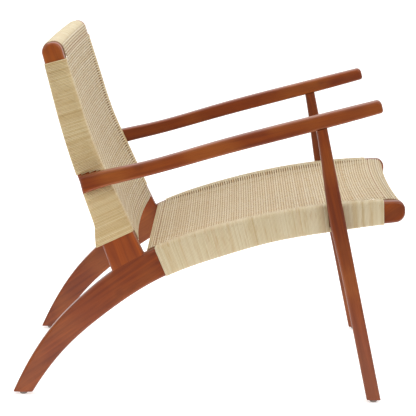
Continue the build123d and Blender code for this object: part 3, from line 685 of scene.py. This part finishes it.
def skin_line(loop, outward, face, away, edge_point):
    """A rail's skin from the end of the side pieces' turns, over its face, away from the panel.

    The loop is turned to begin where its flat face begins, which is the point furthest along
    3 * face - away, and walked towards `away`. A straight run level with the face leads up to it
    from the edge point. Result: distances, points and normals.
    """
    start = int(np.argmax(loop @ (3 * face - away)))
    loop, outward = np.roll(loop, -start, 0), np.roll(outward, -start, 0)
    if (loop[1:6] - loop[0]).sum(0) @ away < (loop[-5:] - loop[0]).sum(0) @ away:
        loop, outward = np.roll(loop[::-1], 1, 0), np.roll(outward[::-1], 1, 0)
    lead = max(0.0, (loop[0] - edge_point) @ away)
    # A second point just before the loop keeps the normal that of the face all along the run.
    loop = np.concatenate([[loop[0] - away * lead, loop[0] - away * lead * 0.01], loop])
    outward = np.concatenate([[face, face], outward])
    return arc_length(loop), loop, outward


def smooth_step(t):
    """3 t squared less 2 t cubed, with t held between 0 and 1."""
    t = np.clip(t, 0.0, 1.0)
    return t * t * (3 - 2 * t)


TIES = np.array([0, 2, 1, 3])   # how far the ties are moved along in four rows that follow each other


def tied(rows, warps):
    """True where a cross strand goes under a long one: at one crossing in four, in broken order."""
    return (warps[None, :] + TIES[rows % 4][:, None]) % 4 == 0


warp_count = 2 * int((panel_half - drop_run + slot_play) / warp_pitch) + 1
warp_x = (np.arange(warp_count) - (warp_count - 1) / 2) * warp_pitch
seat_rise = rail.at(np.array([rail.start, rail.end]))
back_rise = stile.at(np.array([stile.start, stile.end]))
forwards = np.array([1.0, 0.0])
# For each cross rail: which way its middle is moved by its bow, the line of the side pieces that it
# joins and at which end, how far cross strands go on from there over it, and their pitch.
RAILS = {
    "back_top_rail": (-back_rise[1][1], back_rise, 1, 34 * MM, back_pitch),
    "back_lower_rail": (-back_rise[1][0], back_rise, 0, 34 * MM, back_pitch),
    "seat_front_rail": (forwards, seat_rise, 1, 48 * MM, seat_pitch),
    "seat_rear_rail": (forwards, seat_rise, 0, 24 * MM, seat_pitch),
}
turn_pitch = warp_pitch / 2     # two turns to a long pair
turn_count = int(2 * panel_half / turn_pitch)
turn_x = (np.arange(turn_count) - (turn_count - 1) / 2) * turn_pitch
row_x = np.concatenate([[row_inset - inner_x, -panel_half], warp_x, [panel_half, inner_x - row_inset]])
for rail_name, (moves, rise, end, reach, pitch) in RAILS.items():
    face, away = rise[1][end], rise[2][end] * (2 * end - 1)
    loop, outward = section_loop(f"{rail_name}_wrap")
    turn_loop, turn_out = few(loop, outward)
    path = np.empty((turn_count, len(turn_loop), 3))
    path[..., 0] = turn_x[:, None]
    path[..., 1:] = ((turn_loop - turn_out * (panel_t - strand_t / 2))[None]
                     + (bow_shift(rail_name, turn_x)[:, None] * moves)[:, None, :])
    normals = np.zeros_like(path)
    normals[..., 1:] = turn_out[None]
    # The turns are painted darker under the rows of cross strands, as their shade: on the face side, for
    # most of the reach.
    shade_under_rows = (turn_out @ face > 0.5) & ((turn_loop - rise[0][end]) @ away < 0.8 * reach)
    shade_under_rows = np.broadcast_to(shade_under_rows * 0.6, path.shape[:2])
    strands = StrandSet()
    strands.add(path, normals, True, shade_under_rows, turn_pitch * packing)
    strands.make(f"{rail_name}_strand_turns", f"{rail_name}_wrap")

    # Cross strands go on over the rail, and dip into its turns at their ties.
    lengths, line, line_out = skin_line(loop, outward, face, away, rise[0][end])
    rows = np.arange(int(reach / pitch))
    place = (rows + 0.5) * pitch
    point = np.stack([np.interp(place, lengths, line[:, k]) for k in (0, 1)], -1)
    normal = unit(np.stack([np.interp(place, lengths, line_out[:, k]) for k in (0, 1)], -1))
    down = np.zeros((len(rows), len(row_x)))
    down[:, 2:-2] = tied(rows, np.arange(warp_count))
    down[:, [0, -1]] = 1.0
    path = np.empty(down.shape + (3,))
    path[..., 0] = row_x
    sink = strand_t * (row_sink + tie_sink * down)
    path[..., 1:] = (point[:, None, :] - normal[:, None, :] * sink[..., None]
                     + bow_shift(rail_name, row_x)[None, :, None] * moves)
    normals = np.zeros_like(path)
    normals[..., 1:] = normal[:, None, :]
    strands = StrandSet()
    # Where they dip at a tie, the strands are painted darker, as shade.
    strands.add(path, normals, False, dip_shade=down * 0.5)
    strands.make(f"{rail_name}_cross_strands")


# ---------------------------------------------------------------- woven panels
def panel_point(piece, s, x, height):
    """Point `height` above the face edge at s, at x across, and the normal there."""
    point, normal, _ = piece.at(s)
    place = np.empty(np.broadcast(s, x).shape + (3,))
    place[..., 0] = x
    place[..., 1:] = point + normal * height[..., None]
    out = np.zeros_like(place)
    out[..., 1:] = normal
    return place, out


def flat_top(share):
    """1 along most of a panel and 0 at its two ends: 1 - (2 share - 1) to the fourth."""
    return 1 - (2 * share - 1) ** 4


def weave(name, piece, pitch, drop, sink_at, slide_at):
    """A woven panel: cross strands between the side pieces and long strands square to them.

    A cross strand lies over three long ones and under the fourth. Both rise and fall by half a
    strand's thickness about the panel's middle surface, which is level at the side pieces,
    falls by drop within drop_run, and sinks by sink_at(share along the panel, x) more. Points are
    moved along the panel by slide_at(distance along it, x).
    """
    s, step = turn_places(piece, pitch)
    s = s[1::2]
    rows = np.arange(len(s))
    half_lift = strand_t * lift_share
    level = wrap_gap + panel_t / 2

    def surface(s_at, x_at, lift):
        """Points and normals of the panel's middle surface, raised by lift.

        height = level - drop * (smooth step over drop_run from the panel's side) * flat_top
        - sink + lift.
        """
        share = np.clip((s_at - piece.start) / (piece.end - piece.start), 0.0, 1.0)
        inside = smooth_step((panel_half - np.abs(x_at)) / drop_run)
        height = level - drop * inside * flat_top(share) - sink_at(share, x_at) + lift
        return panel_point(piece, s_at + slide_at(s_at, x_at), x_at, height)

    down = tied(rows, np.arange(warp_count))

    # Cross strands: from the top of one side piece to the other, straight over the slots.
    slot = abs(warp_x[0])
    x_end = np.array([inner_x + wood_end, inner_x - gap_end, (2 * inner_x + slot) / 3,
                      (inner_x + 2 * slot) / 3])
    x_line = np.concatenate([-x_end, warp_x, x_end[::-1]])
    lift = np.zeros((len(s), len(x_line)))
    lift[:, 4:-4] = np.where(down, -half_lift, half_lift)
    grid_s, grid_x = np.broadcast_arrays(s[:, None], x_line[None, :])
    path, out = surface(grid_s, grid_x, lift)
    on_wood = np.abs(x_line) > inner_x
    path[:, on_wood, 1:] -= out[:, on_wood, 1:] * (level - wrap_gap - strand_t / 2)
    cross = StrandSet()
    # Where a cross strand goes under, it is painted darker, as shade.
    cross.add(path, out, False, dip_shade=(lift < 0) * 0.5)
    cross.make(f"{name}_cross_strands", f"{name}_weave")

    # Long strands: from one cross rail to the other, with their ends under its turns.
    s_line = np.concatenate([piece.start - long_ends[::-1], s, piece.end + long_ends])
    lift = np.full((warp_count, len(s_line)), -half_lift)
    lift[:, 3:-3] = np.where(down.T, half_lift, -half_lift)
    lift[:, [0, -1]] = -tuck_depth
    grid_s, grid_x = np.broadcast_arrays(s_line[None, :], warp_x[:, None])
    path, out = surface(grid_s, grid_x, lift)
    run = StrandSet()
    # Long strands are painted darker where they go under, as shade.
    run.add(path, out, False, dip_shade=(lift < 0) * 0.75, width=warp_w, section=PAIR,
            section_shade=PAIR_SHADE)
    run.make(f"{name}_long_strands")

    # Two more pairs a side lie under the slots, which stay open above them.
    low_x = slot + np.array([1.0, 2.0]) * warp_pitch
    low_x = np.concatenate([-low_x[::-1], low_x])
    grid_s, grid_x = np.broadcast_arrays(s_line[None, :], low_x[:, None])
    path, out = surface(grid_s, grid_x, np.full(grid_s.shape, -low_strand_drop))
    low = StrandSet()
    # These lie in the slots' shade and are painted fully dark for it.
    low.add(path, out, False, dip_shade=np.ones(grid_s.shape), width=warp_w, section=PAIR,
            section_shade=PAIR_SHADE)
    low.make(f"{name}_edge_strands")


def bulge(x):
    """1 at the middle of a panel, 0 at its sides, as a parabola."""
    return 1 - np.minimum(1.0, np.abs(x) / panel_half) ** 2


def back_sink(share, x):
    """The back follows the bows of its two rails, from the lower one's to the top one's."""
    low, high = rail_bows["back_lower_rail"], rail_bows["back_top_rail"]
    return bulge(x) * (low + share * (high - low))


def seat_sink(share, x):
    """The seat sags in its middle: seat_sag * bulge * flat_top."""
    return bulge(x) * seat_sag * flat_top(share)


def stay(s, x):
    """No slide."""
    return 0.0 * s


def follow_bow(s, x):
    """The front rail's bow at x, back along the seat, brought in smoothly over bow_run before it."""
    return -bow_shift("seat_front_rail", x) * smooth_step((s - rail.end + bow_run) / bow_run)


weave("back", stile, back_pitch, edge_drop_back, back_sink, stay)
weave("seat", rail, seat_pitch, edge_drop_seat, seat_sink, follow_bow)

# ---------------------------------------------------------------- floor, light and camera
# Matt white floor. It stops a metre to the camera's side, so it throws little light up at the chair.
floor_mesh = bpy.data.meshes.new("floor")
near_x, far_x, wide_y = -1.0, 12.0, 8.0
floor_mesh.from_pydata([(near_x, -wide_y, 0), (far_x, -wide_y, 0), (far_x, wide_y, 0), (near_x, wide_y, 0)],
                       [], [(0, 1, 2, 3)])
floor = bpy.data.objects.new("floor", floor_mesh)
bpy.context.scene.collection.objects.link(floor)
floor_finish, _, floor_surface = finish("matt_paper_floor", Roughness=0.9)
floor_surface.inputs["Base Color"].default_value = (0.9, 0.9, 0.9, 1.0)
floor_surface.inputs["Emission Color"].default_value = (1.0, 1.0, 1.0, 1.0)
floor_surface.inputs["Emission Strength"].default_value = 0.56
floor_mesh.materials.append(floor_finish)

# The studio: white behind and above the chair, dim on the camera's side, and white where seen.
world = bpy.data.worlds.new("studio")
world.use_nodes = True
tree = world.node_tree
tree.nodes.clear()
way = put(tree, "ShaderNodeTexCoord").outputs["Generated"]
bright_side = (0.75, 0.0, 0.66)
facing = put(tree, "ShaderNodeVectorMath", {0: way, 1: bright_side},
             operation="DOT_PRODUCT").outputs["Value"]
glow = spread(tree, facing, -0.6, 0.6, 0.18, 0.9)
seen = put(tree, "ShaderNodeLightPath").outputs["Is Camera Ray"]
strength = spread(tree, seen, 0.0, 1.0, glow, 1.05)
sky = put(tree, "ShaderNodeBackground", {"Strength": strength})
sky.inputs["Color"].default_value = (1.0, 1.0, 1.0, 1.0)
tree.links.new(sky.outputs[0], put(tree, "ShaderNodeOutputWorld").inputs["Surface"])
bpy.context.scene.world = world


def stand(name, data, x_axis, y_axis, z_axis, place):
    """Adds a lamp or camera with the given axes at a place."""
    made = bpy.data.objects.new(name, data)
    rows = np.stack([x_axis, y_axis, z_axis, np.array(place)], 1)
    made.matrix_world = Matrix([list(row) for row in rows] + [[0, 0, 0, 1]])
    bpy.context.scene.collection.objects.link(made)
    return made


for lamp_name, place, aim, size, power in (
        ("key_softbox", (-2.8, -1.4, 2.2), (0.0, 0.0, 0.4), 1.6, 35.0),
        ("rear_softbox", (-2.6, 2.0, 1.8), (0.0, 0.0, 0.4), 1.6, 22.0),
        ("top_softbox", (0.6, 0.3, 3.4), (0.0, 0.0, 0.3), 2.4, 38.0)):
    lamp = bpy.data.lights.new(lamp_name, "AREA")
    lamp.size = size
    lamp.energy = power
    toward = unit(np.array(aim) - np.array(place))
    side_axis = unit(np.cross(toward, [0.0, 0.0, 1.0]))
    stand(lamp_name, lamp, side_axis, np.cross(side_axis, toward), -toward, place)

# The camera stands off the sitter's right, above the chair's top, and looks some 10 degrees down.
camera_place = (-3.8006, -0.05215, 1.04997)
yaw, pitch_down, roll = 0.01480, 0.18396, 0.0090
ahead = np.array([np.cos(pitch_down) * np.cos(yaw), np.cos(pitch_down) * np.sin(yaw), -np.sin(pitch_down)])
level_right = unit(np.cross(ahead, [0.0, 0.0, 1.0]))
level_up = np.cross(level_right, ahead)
right = np.cos(roll) * level_right + np.sin(roll) * level_up
up = -np.sin(roll) * level_right + np.cos(roll) * level_up
camera_data = bpy.data.cameras.new("camera")
camera_data.sensor_width = 36.0
camera_data.lens = 153.64
bpy.context.scene.camera = stand("camera", camera_data, right, up, -ahead, camera_place)
bpy.context.scene.view_settings.view_transform = "Standard"
